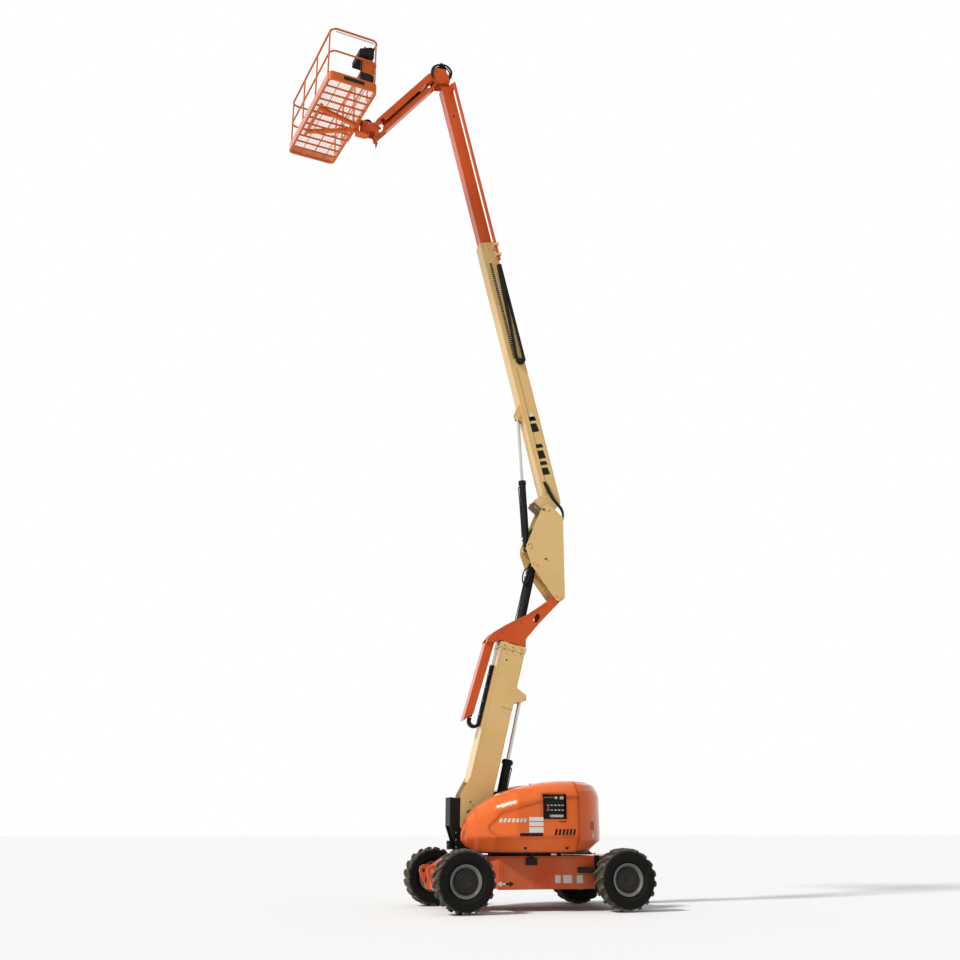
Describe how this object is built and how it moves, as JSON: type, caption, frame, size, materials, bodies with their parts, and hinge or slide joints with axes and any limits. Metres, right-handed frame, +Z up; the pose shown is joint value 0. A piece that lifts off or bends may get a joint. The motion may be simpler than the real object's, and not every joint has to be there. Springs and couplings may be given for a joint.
{
  "type": "articulating boom lift",
  "caption": "Self-propelled aerial work platform with wheeled chassis, slewing turntable, telescoping tower, upright, telescoping main boom, parallel jib and rotating railed basket, raised",
  "frame": {"origin": "on the ground, under the middle of the front axle, which is also under the middle of the machine's extents in the raised pose", "axes": "+X forward, from the rear axle to the front axle; +Y the machine's left; +Z up"},
  "size_m": [5.9348, 2.5394, 15.3238],
  "materials": {
    "orange_paint": "satin",
    "hood_paint": "gloss",
    "cream_paint": "satin",
    "dark_paint": "satin",
    "rim_paint": "satin",
    "dark_steel": "oily",
    "cast_grey": "cast",
    "grey_steel": "galvanised",
    "chrome_rod": "polished",
    "black_plastic": "matte",
    "rubber_hose": "matte",
    "tyre_rubber": "dusty"
  },
  "bodies": {
    "chassis": {"chassis_frame": "orange_paint", "front_axle": "orange_paint", "rear_axle": "orange_paint", "slew_bearing": "dark_steel"},
    "tie_rod": {"tie_rod": "dark_paint"},
    "steer_left": {"steer_knuckle_left": "dark_paint"},
    "steer_right": {"steer_knuckle_right": "dark_paint"},
    "turntable": {"turntable_frame": "dark_paint", "counterweight": "orange_paint", "engine_block": "cast_grey", "ground_controls": "black_plastic"},
    "hood_left": {"hood_left": "hood_paint"},
    "hood_right": {"hood_right": "hood_paint"},
    "tower": {"tower_base": "cream_paint", "tower_track": "black_plastic"},
    "tower_fly": {"tower_fly": "orange_paint", "tower_carrier_arm": "orange_paint"},
    "tower_cylinder_barrel": {"tower_cylinder_barrel": "dark_paint"},
    "tower_cylinder_rod": {"tower_cylinder_rod": "chrome_rod"},
    "upright": {"upright": "cream_paint"},
    "level_cylinder_barrel": {"level_cylinder_barrel": "dark_paint"},
    "level_cylinder_rod": {"level_cylinder_rod": "chrome_rod"},
    "boom": {"boom_base": "cream_paint", "boom_track": "black_plastic"},
    "boom_fly": {"boom_fly": "orange_paint", "boom_carrier_tube": "orange_paint"},
    "boom_cylinder_barrel": {"boom_cylinder_barrel": "dark_paint"},
    "boom_cylinder_rod": {"boom_cylinder_rod": "chrome_rod"},
    "knuckle": {"knuckle": "orange_paint", "knuckle_guard": "rubber_hose"},
    "jib_arm": {"jib_arm": "orange_paint"},
    "jib_link": {"jib_link": "orange_paint"},
    "jib_cylinder_barrel": {"jib_cylinder_barrel": "dark_paint"},
    "jib_cylinder_rod": {"jib_cylinder_rod": "chrome_rod"},
    "jib_head": {"jib_head": "orange_paint"},
    "platform": {"platform_support": "dark_paint", "platform_floor": "cream_paint", "platform_mesh": "grey_steel", "platform_rails": "cream_paint", "platform_console": "black_plastic"},
    "platform_gate": {"platform_gate": "cream_paint"},
    "wheel_front_left": {"tyre_front_left": "tyre_rubber", "rim_front_left": "rim_paint"},
    "wheel_front_right": {"tyre_front_right": "tyre_rubber", "rim_front_right": "rim_paint"},
    "wheel_rear_left": {"tyre_rear_left": "tyre_rubber", "rim_rear_left": "rim_paint"},
    "wheel_rear_right": {"tyre_rear_right": "tyre_rubber", "rim_rear_right": "rim_paint"}
  },
  "joints": [
    {"name": "steering", "type": "hinge", "parent": "chassis", "child": "steer_left", "pos_m": [0, 0.79, 0.45], "axis": [0, 0, 1], "range_deg": [-35, 35]},
    {"name": "steering_right", "type": "hinge", "parent": "chassis", "child": "steer_right", "pos_m": [0, -0.79, 0.45], "axis": [0, 0, 1], "range_deg": [-35, 35]},
    {"name": "tie_rod_slide", "type": "slide", "parent": "chassis", "child": "tie_rod", "axis": [0, 1, 0], "range_m": [-0.12, 0.12]},
    {"name": "spin_front_left", "type": "hinge", "parent": "steer_left", "child": "wheel_front_left", "pos_m": [0, 1.0725, 0.45], "axis": [0, 1, 0], "continuous": true},
    {"name": "spin_front_right", "type": "hinge", "parent": "steer_right", "child": "wheel_front_right", "pos_m": [0, -1.0725, 0.45], "axis": [0, 1, 0], "continuous": true},
    {"name": "spin_rear_left", "type": "hinge", "parent": "chassis", "child": "wheel_rear_left", "pos_m": [-2.48, 1.0725, 0.45], "axis": [0, 1, 0], "continuous": true},
    {"name": "spin_rear_right", "type": "hinge", "parent": "chassis", "child": "wheel_rear_right", "pos_m": [-2.48, -1.0725, 0.45], "axis": [0, 1, 0], "continuous": true},
    {"name": "swing", "type": "hinge", "parent": "chassis", "child": "turntable", "pos_m": [-1.24, 0, 0.8], "axis": [0, 0, 1], "range_deg": [-180, 180]},
    {"name": "hood_left_lift", "type": "hinge", "parent": "turntable", "child": "hood_left", "pos_m": [-1.24, 0.322, 1.866], "axis": [1, 0, 0], "range_deg": [0, 60]},
    {"name": "hood_right_lift", "type": "hinge", "parent": "turntable", "child": "hood_right", "pos_m": [-1.24, -0.322, 1.866], "axis": [-1, 0, 0], "range_deg": [0, 60]},
    {"name": "tower_lift", "type": "hinge", "parent": "turntable", "child": "tower", "pos_m": [-0.32, 0, 1.42], "axis": [0, 1, 0], "range_deg": [-76.3, 0]},
    {"name": "tower_telescope", "type": "slide", "parent": "tower", "child": "tower_fly", "axis": [-0.2368, 0, 0.9715], "range_m": [0, 1.6]},
    {"name": "tower_cylinder_swing", "type": "hinge", "parent": "turntable", "child": "tower_cylinder_barrel", "pos_m": [-0.715, 0, 1.02], "axis": [0, 1, 0], "range_deg": [-79.2, 0.5]},
    {"name": "tower_cylinder_stroke", "type": "slide", "parent": "tower_cylinder_barrel", "child": "tower_cylinder_rod", "axis": [-0.2165, 0, 0.9763], "range_m": [-0.6958, 0.004]},
    {"name": "upright_level", "type": "hinge", "parent": "tower_fly", "child": "upright", "pos_m": [-1.843, 0, 4.886], "axis": [0, 1, 0], "range_deg": [0, 76.3]},
    {"name": "level_cylinder_swing", "type": "hinge", "parent": "upright", "child": "level_cylinder_barrel", "pos_m": [-1.439, 0, 5.43], "axis": [0, 1, 0], "range_deg": [-75.2, 0.5]},
    {"name": "level_cylinder_stroke", "type": "slide", "parent": "level_cylinder_barrel", "child": "level_cylinder_rod", "axis": [0.2228, 0, -0.9749], "range_m": [-0.8376, 0.004]},
    {"name": "main_lift", "type": "hinge", "parent": "upright", "child": "boom", "pos_m": [-1.668, 0, 6.411], "axis": [0, -1, 0], "range_deg": [-76.6, 0]},
    {"name": "boom_cylinder_swing", "type": "hinge", "parent": "upright", "child": "boom_cylinder_barrel", "pos_m": [-1.345, 0, 5.725], "axis": [0, -1, 0], "range_deg": [-63.56, 0.5]},
    {"name": "boom_cylinder_stroke", "type": "slide", "parent": "boom_cylinder_barrel", "child": "boom_cylinder_rod", "axis": [0.0539, 0, 0.9985], "range_m": [-0.8062, 0.004]},
    {"name": "main_telescope", "type": "slide", "parent": "boom", "child": "boom_fly", "axis": [0.2317, 0, 0.9728], "range_m": [-3.2, 0]},
    {"name": "knuckle_level", "type": "hinge", "parent": "boom_fly", "child": "knuckle", "pos_m": [0.205, 0, 14.9], "axis": [0, -1, 0], "range_deg": [0, 76.6]},
    {"name": "jib_lift", "type": "hinge", "parent": "knuckle", "child": "jib_arm", "pos_m": [0.36, 0, 14.875], "axis": [0, -1, 0], "range_deg": [-18.5, 126.5]},
    {"name": "jib_link_swing", "type": "hinge", "parent": "knuckle", "child": "jib_link", "pos_m": [0.395, 0, 15.085], "axis": [0, -1, 0], "range_deg": [-18.5, 126.5]},
    {"name": "jib_head_level", "type": "hinge", "parent": "jib_arm", "child": "jib_head", "pos_m": [1.4992, 0, 13.44283], "axis": [0, -1, 0], "range_deg": [-126.5, 18.5]},
    {"name": "jib_cylinder_swing", "type": "hinge", "parent": "jib_arm", "child": "jib_cylinder_barrel", "pos_m": [1.1538, 0, 13.90919], "axis": [0, -1, 0], "range_deg": [-1.15, 4.93]},
    {"name": "jib_cylinder_stroke", "type": "slide", "parent": "jib_cylinder_barrel", "child": "jib_cylinder_rod", "axis": [-0.5422, 0, 0.8402], "range_m": [-0.3672, 0.0571]},
    {"name": "platform_rotate", "type": "hinge", "parent": "jib_head", "child": "platform", "pos_m": [1.70762, 0, 13.485], "axis": [0, 0, 1], "range_deg": [-101.4, 78.6]},
    {"name": "gate_swing", "type": "hinge", "parent": "platform", "child": "platform_gate", "pos_m": [2.03845, -0.73512, 14.21], "axis": [0, 0, -1], "range_deg": [0, 80]}
  ],
  "couplings": [
    {"joint": "steering_right", "follows": "steering", "ratio": 1},
    {"joint": "tie_rod_slide", "follows": "steering", "m_per_rad": -0.18},
    {"joint": "tower_cylinder_swing", "follows": "tower_lift", "ratio": 1.0315},
    {"joint": "tower_cylinder_stroke", "follows": "tower_lift", "m_per_rad": 0.5195},
    {"joint": "upright_level", "follows": "tower_lift", "ratio": -1},
    {"joint": "level_cylinder_swing", "follows": "tower_lift", "ratio": 0.979},
    {"joint": "level_cylinder_stroke", "follows": "tower_lift", "m_per_rad": 0.626},
    {"joint": "boom_cylinder_swing", "follows": "main_lift", "ratio": 0.8232},
    {"joint": "boom_cylinder_stroke", "follows": "main_lift", "m_per_rad": 0.6},
    {"joint": "knuckle_level", "follows": "main_lift", "ratio": -1},
    {"joint": "jib_link_swing", "follows": "jib_lift", "ratio": 1},
    {"joint": "jib_head_level", "follows": "jib_lift", "ratio": -1},
    {"joint": "jib_cylinder_swing", "follows": "jib_lift", "ratio": 0.035},
    {"joint": "jib_cylinder_stroke", "follows": "jib_lift", "m_per_rad": -0.1645}
  ]
}
